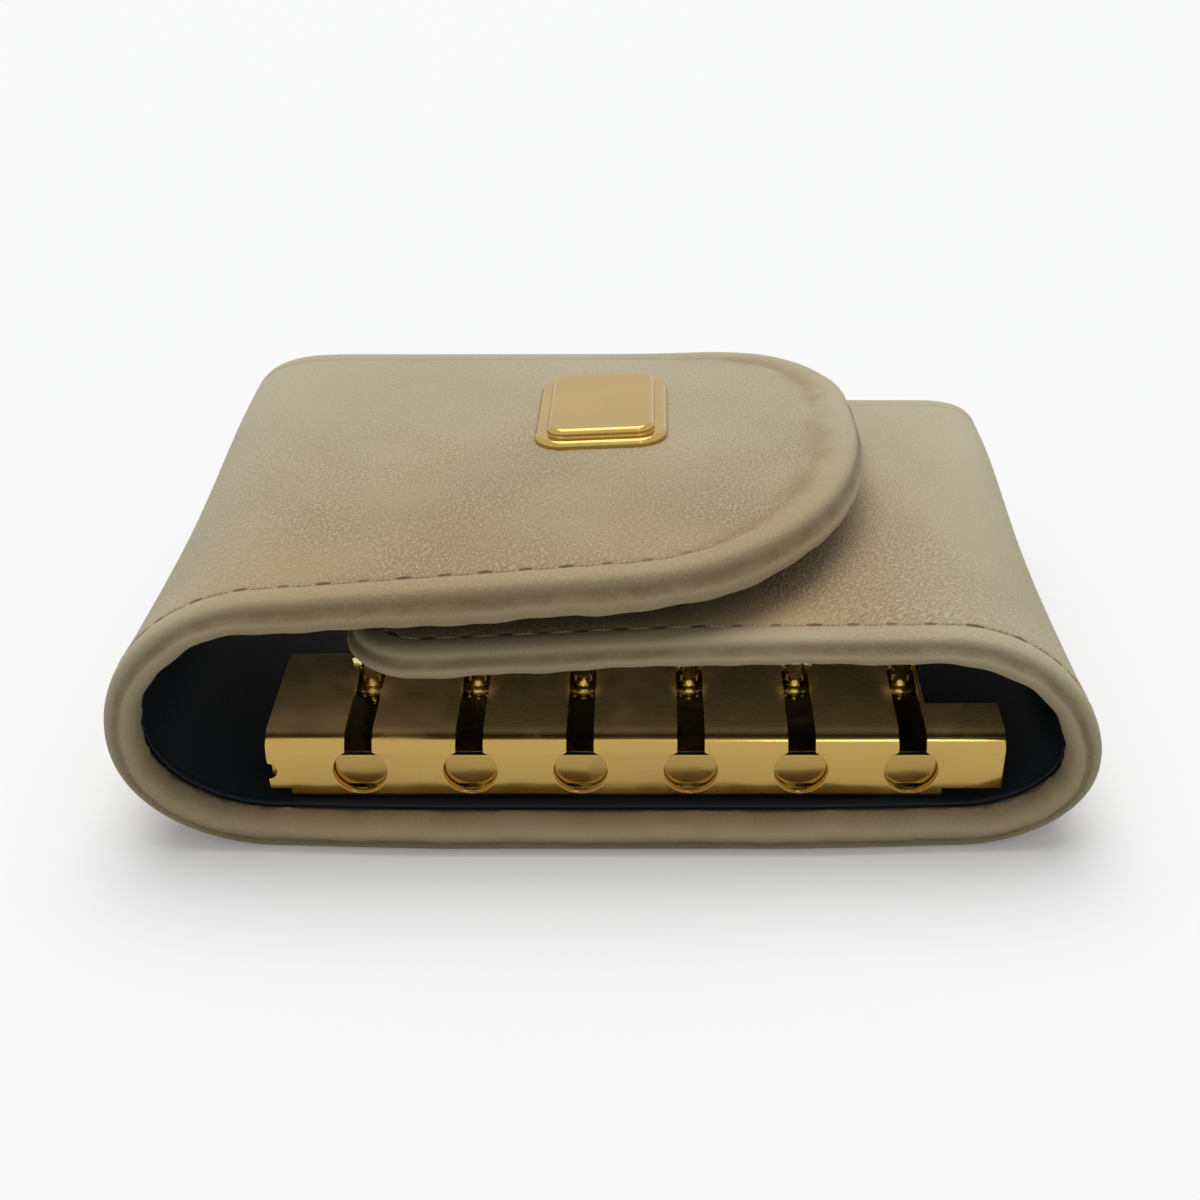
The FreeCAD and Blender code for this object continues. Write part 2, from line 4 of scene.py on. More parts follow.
import bmesh
import bpy
import numpy as np
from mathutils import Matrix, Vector


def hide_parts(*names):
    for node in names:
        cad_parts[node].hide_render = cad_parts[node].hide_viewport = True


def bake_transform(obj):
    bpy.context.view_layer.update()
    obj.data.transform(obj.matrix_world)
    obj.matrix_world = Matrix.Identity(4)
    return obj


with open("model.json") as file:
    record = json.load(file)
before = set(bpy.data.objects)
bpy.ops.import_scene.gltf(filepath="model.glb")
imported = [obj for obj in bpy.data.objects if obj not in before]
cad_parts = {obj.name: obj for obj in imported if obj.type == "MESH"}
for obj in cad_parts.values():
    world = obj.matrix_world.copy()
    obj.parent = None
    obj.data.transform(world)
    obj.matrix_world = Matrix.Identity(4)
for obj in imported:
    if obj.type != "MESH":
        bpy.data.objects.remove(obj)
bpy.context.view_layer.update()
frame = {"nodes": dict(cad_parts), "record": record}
mm = 0.001
print("frame loaded:", len(frame["nodes"]), "nodes")


# Shader maths: a Wire is one value in a material, and arithmetic on it adds Math nodes
def plug(tree, socket, value):
    if isinstance(value, Wire):
        tree.links.new(value.socket, socket)
    else:
        socket.default_value = value


class Wire:
    def __init__(self, tree, socket):
        self.tree, self.socket = tree, socket

    def calc(self, operation, first, second=0.0, clamp=False):
        node = self.tree.nodes.new("ShaderNodeMath")
        node.operation, node.use_clamp = operation, clamp
        plug(self.tree, node.inputs[0], first)
        plug(self.tree, node.inputs[1], second)
        return Wire(self.tree, node.outputs[0])

    def __add__(self, other):
        return self.calc("ADD", self, other)

    __radd__ = __add__

    def __sub__(self, other):
        return self.calc("SUBTRACT", self, other)

    def __rsub__(self, other):
        return self.calc("SUBTRACT", other, self)

    def __mul__(self, other):
        return self.calc("MULTIPLY", self, other)

    __rmul__ = __mul__

    def __truediv__(self, other):
        return self.calc("DIVIDE", self, other)

    def clip(self):
        return self.calc("ADD", self, 0.0, clamp=True)


class Finish:
    def __init__(self, name, tree=None):
        self.material = None
        if tree is None:
            self.material = bpy.data.materials.new(name)
            self.material.use_nodes = True
            tree = self.material.node_tree
        self.tree = tree
        self.tree.nodes.clear()

    def node(self, kind, settings=None, inputs=None, output=0):
        made = self.tree.nodes.new("ShaderNode" + kind)
        for key, value in (settings or {}).items():
            setattr(made, key, value)
        for key, value in (inputs or {}).items():
            plug(self.tree, made.inputs[key], value)
        return Wire(self.tree, made.outputs[output]) if made.outputs else made

    def stretch(self, vector, factors, turn=0.0):
        return self.node("Mapping", {}, {"Vector": vector, "Scale": factors,
                                         "Rotation": (0, 0, math.radians(turn))})

    def noise(self, vector, scale, detail=2.0, rough=0.5, bend=0.0):
        return self.node("TexNoise", {}, {"Vector": vector, "Scale": scale, "Detail": detail,
                                          "Roughness": rough, "Distortion": bend})

    def span(self, value, low, high, start=0.0, end=1.0):
        return self.node("MapRange", {"interpolation_type": "SMOOTHSTEP"},
                         {"Value": value, "From Min": low, "From Max": high, "To Min": start, "To Max": end})

    def tint(self, amount, first, second):
        return self.node("Mix", {"data_type": "RGBA", "clamp_factor": True},
                         {0: amount, 6: first, 7: second}, 2)

    def bump(self, height, strength, distance):
        return self.node("Bump", {}, {"Height": height, "Strength": strength, "Distance": distance})

    def surface(self, **inputs):
        named = {key.replace("_", " "): value for key, value in inputs.items()}
        shader = self.node("BsdfPrincipled", {}, named)
        self.node("OutputMaterial", {}, {"Surface": shader})
        return self.material


def srgb(red, green, blue):
    def linear(c):
        c = c / 255
        return c / 12.92 if c <= 0.04045 else ((c + 0.055) / 1.055) ** 2.4
    return (linear(red), linear(green), linear(blue), 1.0)


# The leather case, as one flat pattern that folds. Millimetres, in the frame of the solids.
caseForm = {
    "width": 100.6, "depth": 66.4,                # the padded edges swell a little past the solids
    "height": {"left": 31.02, "right": 26.2},     # over each bend, at the front
    "drop": 5.0,                                  # lower at the back by this
    "pullIn": {"left": 3.6, "right": 3.0},        # the back of each bend lies further in
    "slope": {"left": 2.5, "right": 0.0},         # degrees
    "tip": {"left": -28.7, "right": -26.2},       # seen from its own bend, so the flap runs towards minus
    "frontCorner": {"left": (27.5, 40.0), "right": (9.0, 9.0)},   # along the edge, along the end
    "backCorner": {"left": (18.5, 18.5), "right": (9.0, 9.0)},
    "frontBend": {"left": [(0.36, 0.12, 0.6)], "right": [(0.36, 0.12, 1.0)]},   # corners: place, width, strength
    "backBend": [(0.80, 0.085, 3.2), (0.22, 0.16, 0.5)],
    "bendMix": (-26, 31),                         # from the front's bend to the back's between these depths
    "lip": 0.7,                                   # the flat back reaches forward by this
    "base": 8.0,                                  # the flat grid starts this far inside the edge
    "stitch": 3.6,                                # the seam runs this far inside the edge
    "roll": 1.2,                                  # the rounded edge is this wide, before the seam's zone
    "stitchEnd": 1.6,                             # that zone is wider by this at the round end
    "endCrease": (0.2, 0.8),                      # the seam lies deeper there: depth, width
}
frontY, backY = -caseForm["depth"] / 2, caseForm["depth"] / 2


# A bend as a curve of unit height: distances along it, tangent angle, x outward, z up
def bendCurve(corners, turn):
    along = np.linspace(0, 1, 401)
    tightness = np.ones_like(along)
    for place, width, strength in corners:
        tightness += strength * np.exp(-((along - place) / width) ** 2)
    angle = np.concatenate([[0], np.cumsum((tightness[1:] + tightness[:-1]) / 2)])
    angle *= math.radians(turn) / angle[-1]
    mid = (angle[1:] + angle[:-1]) / 2
    x = np.concatenate([[0], np.cumsum(np.cos(mid))])
    z = np.concatenate([[0], np.cumsum(np.sin(mid))])
    return along, angle, x / z[-1], z / z[-1]


def smooth(value, low, high):
    t = np.clip((value - low) / (high - low), 0, 1)
    return t * t * (3 - 2 * t)


bends = {}
for side in ("left", "right"):
    turn = 180 - caseForm["slope"][side]
    bends[side] = bendCurve(caseForm["frontBend"][side], turn), bendCurve(caseForm["backBend"], turn)


def heightAt(side, y):
    return caseForm["height"][side] - caseForm["drop"] * (y - frontY) / caseForm["depth"]


# Lengths along the pattern at half depth: end of the flat back, end of the bend, tip of the flap
def patternStops(side):
    middle = heightAt(side, 0.0)
    flat = caseForm["width"] / 2 - middle / 2
    bend = flat + middle / 2 * math.radians(180 - caseForm["slope"][side])
    return flat, bend, bend + flat - caseForm["tip"][side]


# Pattern place (s along the strip, y, depth below the outer face) to a point in the frame
def foldPoints(s, y, depth):
    points = np.zeros((len(s), 3))
    for side, way in (("left", -1), ("right", 1)):
        mine = s < 0 if side == "left" else s >= 0
        a, v, n = np.abs(s[mine]), y[mine], depth[mine]
        flat, bend, end = patternStops(side)
        tall, square = heightAt(side, v), smooth(v, *caseForm["bendMix"])
        (along, turnRound, xRound, zRound), (_, turnSquare, xSquare, zSquare) = bends[side]
        bulge = tall * (xRound.max() * (1 - square) + xSquare.max() * square)
        pull = caseForm["pullIn"][side] * smooth(v, frontY, backY + 8)
        start = caseForm["width"] / 2 - pull - bulge

        f = np.clip((a - flat) / (bend - flat), 0, 1)
        mixed = [np.interp(f, along, r) * (1 - square) + np.interp(f, along, q) * square
                 for r, q in ((turnRound, turnSquare), (xRound, xSquare), (zRound, zSquare))]
        angle, x, z = mixed[0], start + tall * mixed[1], tall * mixed[2]
        x = np.where(a < flat, a / flat * start, x)
        t = np.clip((a - bend) / (end - bend), 0, None)
        run = t * (caseForm["tip"][side] - x)
        rise = -run * math.tan(math.radians(caseForm["slope"][side]))
        x, z = x + run, z + rise
        x, z = x - np.sin(angle) * n, z + np.cos(angle) * n
        v = v - caseForm["lip"] * smooth(-v, 20, 33) * smooth(flat + 6 - a, 0, 26)
        fade = smooth(a, flat + 0.55 * (bend - flat), bend + 4)
        z += fade * flapWarp(side, way * x, v)
        points[mine] = np.stack([way * x, v, z], 1)
    return points * mm


# How the flaps lie in use: the left one is twisted up at the front of its round end, and lifts along its
# back and at its back corner; the right one sags towards its tip and rises a little at the front of its bend
flapLie = {
    "twist": -0.00135, "twistMiddle": -19,        # height per length and depth, about this x
    "backLift": 0.9, "cornerLift": 0.8, "corner": (22, 31), "cornerSpread": (11, 12),
    "sag": 1.7, "sagRange": (-14, 26), "rise": 0.25, "riseRange": (10, 40),
}


def flapWarp(side, x, y):
    back = np.clip((y - frontY) / caseForm["depth"], 0, 1)
    if side == "left":
        (cornerX, cornerY), (wide, deep) = flapLie["corner"], flapLie["cornerSpread"]
        corner = flapLie["cornerLift"] * np.exp(-((x - cornerX) / wide) ** 2 - ((y - cornerY) / deep) ** 2)
        twist = flapLie["twist"] * (x - flapLie["twistMiddle"]) * y
        return twist + flapLie["backLift"] * back ** 1.5 + corner
    sag = -flapLie["sag"] * smooth(-x, *flapLie["sagRange"]) * (1 - 0.7 * back)
    return sag + flapLie["rise"] * (1 - back) * smooth(x, *flapLie["riseRange"])


# Stations along the pattern: counts for the flat back, a bend and a corner, and the step on a flap
patternSteps = {"flat": 34, "bend": 72, "flap": 1.1, "wideCorner": 40, "smallCorner": 9, "smallRun": 10}


# Outline of the pattern at the flat grid's edge, with the way out of the pattern at each point
def patternStations(side):
    flat, bend, end = patternStops(side)
    base = caseForm["base"]
    near, far = caseForm["frontCorner"][side], caseForm["backCorner"][side]
    straight = end - near[0]
    count = max(2, round((straight - bend) / patternSteps["flap"]))
    stops = list(np.linspace(0, flat, patternSteps["flat"])[:-1])
    stops += list(np.linspace(flat, bend, patternSteps["bend"])[:-1])
    stops += list(np.linspace(bend, straight, count)[:-1])
    steps = patternSteps["wideCorner" if near[0] > patternSteps["smallRun"] else "smallCorner"]
    stops += [straight + (near[0] - base) * math.sin(t) for t in np.linspace(0, math.pi / 2, steps)]
    rows = []
    for s in stops:
        row = [s]
        for edge, up, (run, sweep) in ((frontY, 1, near), (backY, -1, far)):
            lean = math.asin(min(1.0, max(0.0, (s - (end - run)) / (run - base))))
            way = np.array([(sweep - base) * math.sin(lean), -up * (run - base) * math.cos(lean)])
            row += [edge + up * (sweep - (sweep - base) * math.cos(lean)),
                    tuple(way / np.linalg.norm(way))]
        rows.append(row)
    return rows


def patternGrid(across=26):
    left, right = patternStations("left"), patternStations("right")
    rows = [[-r[0], r[1], (-r[2][0], r[2][1]), r[3], (-r[4][0], r[4][1])] for r in left[:0:-1]] + right
    s = np.array([r[0] for r in rows])
    share = np.linspace(0, 1, across + 1)
    near, far = np.array([r[1] for r in rows]), np.array([r[3] for r in rows])
    grid = np.stack([np.repeat(s[:, None], across + 1, 1), near[:, None] + (far - near)[:, None] * share], 2)
    last = len(rows) - 1
    loop = [(i, 0, rows[i][2]) for i in range(last + 1)]
    loop += [(last, j, (1.0, 0.0)) for j in range(1, across)]
    loop += [(i, across, rows[i][4]) for i in range(last, -1, -1)]
    loop += [(0, j, (-1.0, 0.0)) for j in range(across - 1, 0, -1)]
    return grid, loop


# Thickness of the turned edge along the strip, against that of the left flap's front
def edgeShare(s):
    left, right = patternStops("left"), patternStops("right")
    stops = [(-left[2] + 2, 0.62), (-left[2] + 6, 0.78), (-left[2] + 13, 1.05), (-left[1] - 14, 1.0),
             (-left[1] + 6, 0.8), (-left[0] - 10, 0.8), (-left[0] + 8, 0.79), (right[0] - 8, 0.79),
             (right[0] + 10, 0.8), (right[1] - 4, 0.76), (right[1] + 20, 0.7), (right[2], 0.74)]
    return float(np.interp(s, [p for p, _ in stops], [v for _, v in stops]))


# One at the tip of the round end, falling to nought along its sides
def roundEnd(s):
    tip = -patternStops("left")[2]
    return 1 - smooth(s, tip + 5, tip + 26)


# Distance of the seam zone's rings from the edge, spread where the round end has a wider margin
def seamSpread(s, d):
    roll = caseForm["roll"]
    return d if d < roll else roll + (d - roll) * (1 + (caseForm["stitchEnd"] - 1) * roundEnd(s))


# Small waves along the turned-in hem, inside the bends where the leather is gathered
def hemWave(s, along):
    flat, bend, _ = patternStops("left" if s < 0 else "right")
    gathered = smooth(abs(s), flat - 8, flat + 4) * (1 - smooth(abs(s), bend - 2, bend + 10))
    wander = 1.7 * math.sin(0.61 * along) + 0.9 * math.sin(0.23 * along)
    return (0.08 + 0.2 * gathered) * math.sin(2.4 * along + wander)


# The padding under the turned edge is not quite even
def edgeUneven(along):
    slow = 0.035 * math.sin(0.41 * along + 1.1 * math.sin(0.13 * along))
    return 1 + slow + 0.02 * math.sin(1.27 * along + 0.4)


# A closed shell over the whole pattern. The profile goes from the outer grid round the edge to the
# inner grid, as pairs of distance inside the edge and depth.
def patternShell(profile, puff, turned):
    grid, loop = patternGrid()
    columns, rows = grid.shape[:2]
    base = caseForm["base"]
    flatPlaces, depths, rims, alongs, uvs, faces = [], [], [], [], [], []

    def add(place, depth, rim, along, uv):
        flatPlaces.append(place)
        depths.append(depth)
        rims.append(rim)
        alongs.append(along)
        uvs.append(uv)
        return len(depths) - 1

    walk = [0.0]
    for (d0, n0), (d1, n1) in zip(profile, profile[1:]):
        walk.append(walk[-1] + math.hypot(d1 - d0, n1 - n0))
    edgeWalk = walk[min(range(len(profile)), key=lambda k: profile[k][0])]
    outerGrid = [[add(grid[i, j], profile[0][1] - puff(grid[i, j]), edgeWalk, 0.0, grid[i, j])
                  for j in range(rows)] for i in range(columns)]
    innerGrid = [[add(grid[i, j], profile[-1][1], edgeWalk - walk[-1], 0.0, grid[i, j])
                  for j in range(rows)] for i in range(columns)]
    for i in range(columns - 1):
        for j in range(rows - 1):
            faces.append((outerGrid[i][j], outerGrid[i + 1][j],
                          outerGrid[i + 1][j + 1], outerGrid[i][j + 1]))
            faces.append((innerGrid[i][j], innerGrid[i][j + 1],
                          innerGrid[i + 1][j + 1], innerGrid[i + 1][j]))
    rings = [[outerGrid[i][j] for i, j, _ in loop]]
    along = seamLength(seamPath(grid, loop))
    creaseDepth, creaseWidth = caseForm["endCrease"]
    for (d, n), w in list(zip(profile, walk))[1:-1]:
        ring = []
        onOuter, onHem = n < 1, turned and n > 3
        for (i, j, way), here in zip(loop, along):
            out = np.array(way)
            share = edgeShare(grid[i, j][0]) * edgeUneven(here) if turned else 1.0
            ruffle = hemWave(grid[i, j][0], here) * smooth(d, 1.2, 3.4) if onHem else 0.0
            inside = seamSpread(grid[i, j][0], d) if onOuter else d
            puffed = puff(grid[i, j]) * smooth(inside, 3.8, base) if onOuter else 0.0
            if turned and onOuter:
                beside = (d - caseForm["stitch"]) / creaseWidth
                puffed -= creaseDepth * roundEnd(grid[i, j][0]) * math.exp(-beside ** 2)
            spread = base - inside if onOuter and d > 1.25 else w
            ring.append(add(grid[i, j] + out * (base - inside - ruffle), n * share - puffed, edgeWalk - w,
                            here, grid[i, j] + out * spread))
        rings.append(ring)
    rings.append([innerGrid[i][j] for i, j, _ in loop])
    for one, two in zip(rings, rings[1:]):
        for k in range(len(loop)):
            m = (k + 1) % len(loop)
            faces.append((one[k], two[k], two[m], one[m]))
    places = np.array(flatPlaces)
    points = foldPoints(places[:, 0], places[:, 1], np.array(depths))
    return {"points": points, "faces": faces, "uv": np.array(uvs) * mm, "rim": np.array(rims),
            "along": np.array(alongs), "s": places[:, 0]}


def seamPath(grid, loop):
    base, stitch = caseForm["base"], caseForm["stitch"]
    return [grid[i, j] + np.array(way) * (base - seamSpread(grid[i, j][0], stitch)) for i, j, way in loop]


def seamLength(line):
    steps = np.linalg.norm(np.diff(np.array(line), axis=0), axis=1)
    return np.concatenate([[0.0], np.cumsum(steps)])


def newMesh(name, points, faces):
    mesh = bpy.data.meshes.new(name)
    mesh.from_pydata([tuple(p) for p in points], [], faces)
    mesh.update()
    thing = bpy.data.objects.new(name, mesh)
    bpy.context.scene.collection.objects.link(thing)
    return thing


# The four pieces of the folded strip, each with its range along the pattern, the two bodies it lies between, and
# a line across one seam of a bend.
def seamLine(side, upper):
    flat, bend, _ = patternStops(side)
    way = -1 if side == "left" else 1
    middle = flat + (bend - flat) / 2
    ends = (middle, bend) if upper else (flat, middle)
    # Short of the piece's end, which stays with the fold; beside the lock strip the right side stays flat
    shares = (0.23, 0.84) if upper else (0.13 if side == "left" else 0.3, 0.7)
    one, two = foldPoints(np.array([way * e for e in ends]), np.zeros(2), np.zeros(2))
    return [Vector(one + (two - one) * share) for share in shares]


def stripPieces():
    leftMiddle = -sum(patternStops("left")[:2]) / 2
    rightMiddle = sum(patternStops("right")[:2]) / 2
    return [
        ("LeftFlap", -math.inf, leftMiddle, "left_fold", "left_flap", seamLine("left", True)),
        ("BackLeft", leftMiddle, 0.0, "back_panel", "left_fold", seamLine("left", False)),
        ("BackRight", 0.0, rightMiddle, "back_panel", "right_fold", seamLine("right", False)),
        ("RightFlap", rightMiddle, math.inf, "right_fold", "right_flap", seamLine("right", True)),
    ]


def cutStrip(name, shell, material, nodes):
    whole = newMesh(name + "Whole", shell["points"], shell["faces"])
    work = bmesh.new()
    work.from_mesh(whole.data)
    bmesh.ops.recalc_face_normals(work, faces=work.faces)
    work.to_mesh(whole.data)
    work.free()
    polygons = [tuple(p.vertices) for p in whole.data.polygons]
    normals = [v.normal.copy() for v in whole.data.vertices]
    bpy.data.objects.remove(whole)
    for part, low, high, bodyA, bodyB, line in stripPieces():
        chosen = [f for f in polygons if low < sum(shell["s"][v] for v in f) / len(f) <= high]
        used = sorted({v for f in chosen for v in f})
        index = {v: k for k, v in enumerate(used)}
        thing = newMesh(name + part, shell["points"][used], [[index[v] for v in f] for f in chosen])
        mesh = thing.data
        for p in mesh.polygons:
            p.use_smooth = True
        uvLayer = mesh.uv_layers.new(name="leatherMap")
        corners = np.array([used[l.vertex_index] for l in mesh.loops])
        uvLayer.data.foreach_set("uv", shell["uv"][corners].astype(np.float32).ravel())
        for label in ("rim", "along"):
            layer = mesh.attributes.new(label, "FLOAT", "POINT")
            layer.data.foreach_set("value", shell[label][used].astype(np.float32))
        mesh.normals_split_custom_set_from_vertices([normals[v] for v in used])
        mesh.materials.append(material)
        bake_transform(thing)
        if nodes:
            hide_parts(*nodes[part])


# Leather
leatherLook = {
    "cool": srgb(183, 172, 143), "warm": srgb(169, 149, 112), "valley": srgb(136, 110, 78),
    "ridgeAndBendLight": srgb(198, 188, 160), "shadeAndDirt": srgb(118, 94, 60), "stain": srgb(146, 121, 82),
    "slit": srgb(112, 76, 48), "slitDeepShade": srgb(64, 42, 26), "pale": srgb(182, 160, 124),
    "warmShadeUnderEnd": srgb(187, 153, 107),                      # painted warm shade on the right flap, where the round end lies on it
    "stitchPitch": 4.1, "slitLength": (0.55, 0.85),     # millimetres along the seam
}


def leatherFinish(stitchRim, tip):
    look = Finish("beigeLeather")
    place = look.node("UVMap", {"uv_map": "leatherMap"})
    rim = look.node("Attribute", {"attribute_name": "rim"}, output=2)
    along = look.node("Attribute", {"attribute_name": "along"}, output=2)
    lengthPlace = look.node("SeparateXYZ", {}, {"Vector": place}, 0)
    depthPlace = look.node("SeparateXYZ", {}, {"Vector": place}, 1)

    # Creped grain: short fine wrinkles whose run turns slowly over the skin
    swirl = look.node("TexNoise", {}, {"Vector": place, "Scale": 38.0, "Detail": 1.0}, 1)
    drift = look.node("VectorMath", {"operation": "SUBTRACT"}, {0: swirl, 1: (0.5, 0.5, 0.5)})
    drift = look.node("VectorMath", {"operation": "SCALE"}, {0: drift, "Scale": 0.014})
    turned = look.node("VectorMath", {"operation": "ADD"}, {0: place, 1: drift})
    crepe = look.noise(look.stretch(turned, (3900, 1850, 1), 24), 1.0, 1.6, 0.5, 0.3)
    cross = look.noise(look.stretch(turned, (2550, 4000, 1), -14), 1.0, 1.6, 0.5, 0.3)
    pores = look.noise(place, 6200.0, 2.0, 0.6)
    patch = look.noise(place, 34.0, 2.0, 0.5)
    grain = crepe * 0.58 + cross * 0.42
    raised = look.span(grain, 0.39, 0.62)
    onTop = look.span(rim, stitchRim - 0.9, stitchRim + 0.8)
    front = (1 - look.span(depthPlace, -0.034, 0.016)) * (1 - 0.45 * look.span(lengthPlace, 0.0, 0.05))
    nearFront = 0.3 + 0.7 * (1 - look.span(depthPlace, -0.02, 0.03))
    strong = (0.35 + 0.65 * look.span(patch, 0.36, 0.6)) * (0.3 + 0.7 * onTop) * nearFront

    # Seam: holes between the stitches and the crease along it, both for painted shade, and the stain at the
    # round end
    step = along / leatherLook["stitchPitch"]
    fromMiddle = look.node("Math", {"operation": "PINGPONG"}, {0: step, 1: 0.5}) * leatherLook["stitchPitch"]
    number = look.node("Math", {"operation": "ROUND"}, {0: step})
    chance = look.node("TexWhiteNoise", {"noise_dimensions": "1D"}, {"W": number})
    shortest, longest = leatherLook["slitLength"]
    half = shortest + (longest - shortest) * chance
    lengthwise = 1 - look.span(fromMiddle - half, -0.2, 0.16)
    beyondSeam = rim - stitchRim
    across = look.node("Math", {"operation": "ABSOLUTE"}, {0: beyondSeam})
    rounded = 1 - look.span(lengthPlace, tip + 0.012, tip + 0.034)
    shown = (1 - rounded) * (1 - look.span(depthPlace, -0.024, -0.004)) * (0.7 + 0.3 * chance)
    slit = lengthwise * (1 - look.span(across + 0.2 * fromMiddle, 0.2, 0.44)) * shown
    deep = lengthwise * (1 - look.span(beyondSeam, 0.2, 0.36)) * look.span(beyondSeam, -0.06, 0.12) * shown
    crease = 1 - look.span(across, 0.06, 0.6)
    uneven = look.span(look.noise(place, 120.0, 3.0, 0.6), 0.36, 0.6)
    stain = rounded * (1 - look.span(across, 0.3, 2.0)) * uneven

    # Colours: clouds and grain; painted light and shade as marked below; a tan hem, mottled dirt and a stain at
    # the edge
    cloudy = look.noise(place, 24.0, 3.0, 0.55)
    # Darker and warmer towards the front, paler and cooler towards the back: painted shade and sheen, over
    # random clouds of tone
    toneAndFrontShade = (look.span(cloudy, 0.35, 0.68) * 0.3 + front * 0.8).clip()
    colour = look.tint(toneAndFrontShade, leatherLook["cool"], leatherLook["warm"])
    # Warm tint on the right flap where the round end lies over it: painted warm shade
    shadeUnderRoundEnd = look.span(lengthPlace, 0.073, 0.095) * (1 - look.span(depthPlace, -0.006, 0.022)) * onTop
    colour = look.tint(shadeUnderRoundEnd * 0.6, colour, leatherLook["warmShadeUnderEnd"])
    colour = look.tint((1 - raised) * strong * 0.62, colour, leatherLook["valley"])
    colour = look.tint(look.span(grain, 0.5, 0.7) * strong * 0.44, colour, leatherLook["ridgeAndBendLight"])
    # Darker along the seam's crease: painted shade
    colour = look.tint(crease * 0.2 * look.span(cloudy, 0.3, 0.6, 0.4, 1.0), colour, leatherLook["shadeAndDirt"])
    colour = look.tint(stain * 0.5, colour, leatherLook["stain"])
    # Lighter round the bends, where the sides face away from the lamp: painted light
    outward = look.node("Math", {"operation": "ABSOLUTE"}, {0: lengthPlace})
    bendLight = look.span(outward, 0.048, 0.06) * (1 - look.span(outward, 0.068, 0.084))
    colour = look.tint(bendLight * 0.36, colour, leatherLook["ridgeAndBendLight"])
    # Darker band over the upper part of the edge face: painted shade, with mottled dirt
    edgeShadeAndDirt = look.span(rim, 2.6, 1.5) * look.span(rim, 0.2, 1.2)
    blotch = look.span(look.noise(place, 240.0, 3.0, 0.6), 0.36, 0.64)
    colour = look.tint(edgeShadeAndDirt * (0.5 + 0.25 * blotch), colour, leatherLook["shadeAndDirt"])
    hem = look.span(rim, 0.9, 0.1) * look.span(rim, -2.6, -1.2)
    colour = look.tint(hem * (0.35 + 0.4 * blotch), colour, leatherLook["pale"])
    # Dark stitch holes, darkest in their middle: painted shade
    colour = look.tint(slit * 0.9, colour, leatherLook["slit"])
    colour = look.tint(deep * 0.45, colour, leatherLook["slitDeepShade"])
    rough = 0.52 + 0.1 * (1 - raised) + 0.08 * cloudy + 0.1 * edgeShadeAndDirt
    folds = look.noise(look.stretch(place, (900, 900, 1)), 1.0, 3.0, 0.6) * (1 - onTop)
    height = raised * strong * 0.7 + pores * 0.1 - slit * 1.2 + folds * 0.5
    relief = look.bump(height, 0.8, 0.00012)
    return look.surface(Base_Color=colour, Roughness=rough, Normal=relief, Specular_IOR_Level=0.3,
                        Sheen_Weight=0.05, Sheen_Roughness=0.4)


def threadFinish():
    look = Finish("beigeThread")
    around = look.node("Attribute", {"attribute_name": "rim"}, output=2)
    along = look.node("Attribute", {"attribute_name": "along"}, output=2)
    place = look.node("UVMap", {"uv_map": "leatherMap"})
    ply = look.node("Math", {"operation": "SINE"}, {0: along * 11.0 + around * 6.283}) * 0.5 + 0.5
    dirt = look.noise(place, 160.0, 2.0)
    colour = look.tint(ply, srgb(158, 140, 108), srgb(182, 165, 134))
    colour = look.tint(look.span(dirt, 0.4, 0.65) * 0.3, colour, srgb(150, 124, 90))
    return look.surface(Base_Color=colour, Roughness=0.75, Normal=look.bump(ply, 0.6, 0.00008),
                        Specular_IOR_Level=0.2)


def liningFinish():
    look = Finish("navyLining")
    place = look.node("UVMap", {"uv_map": "leatherMap"})
    weave = look.noise(look.stretch(place, (4200, 1500, 1), 8), 1.0, 2.0, 0.5)
    cloudy = look.noise(place, 60.0, 2.0)
    colour = look.tint(look.span(cloudy, 0.3, 0.7), srgb(4, 13, 21), srgb(9, 19, 28))
    return look.surface(Base_Color=colour, Roughness=0.5 + 0.2 * weave, Normal=look.bump(weave, 0.35, 0.0001),
                        Specular_IOR_Level=0.25)


# Profiles of the strip's edge: distance inside the edge, and depth below the outer face
edgeProfile = {
    "leather": [(8.0, 0.0), (5.0, -0.03), (4.6, -0.05), (4.25, -0.03), (3.95, 0.04), (3.75, 0.12),
                (3.6, 0.16), (3.45, 0.12), (3.15, 0.02), (2.7, -0.05), (2.1, -0.05), (1.65, 0.03),
                (1.3, 0.18), (1.02, 0.42), (0.86, 0.72), (0.8, 1.05), (0.76, 1.38), (0.65, 1.72),
                (0.44, 2.08), (0.2, 2.44), (0.04, 2.8), (0.0, 3.1), (0.06, 3.42), (0.25, 3.76),
                (0.6, 4.06), (1.12, 4.3), (1.8, 4.42), (2.6, 4.3), (3.3, 3.95), (3.9, 3.5), (4.4, 3.0),
                (8.0, 2.4)],
    "lining": [(8.0, 3.2), (5.4, 3.22), (4.7, 3.2), (4.4, 3.05), (4.35, 2.8), (4.6, 2.55), (8.0, 2.5)],
}
stripNodes = {
    "LeftFlap": ["outer_left_flap", "left_flap_padding", "outer_left_fold", "left_fold_padding"],
    "BackLeft": ["outer_back_panel", "back_padding", "outer_left_fold", "left_fold_padding"],
    "BackRight": ["outer_back_panel", "back_padding", "outer_right_fold", "right_fold_padding"],
    "RightFlap": ["outer_right_flap", "right_flap_padding", "outer_right_fold", "right_fold_padding"],
}
liningNodes = {
    "LeftFlap": ["lining_left_flap", "lining_left_fold"],
    "BackLeft": ["lining_back", "lining_left_fold"],
    "BackRight": ["lining_back", "lining_right_fold"],
    "RightFlap": ["lining_right_flap", "lining_right_fold"],
}


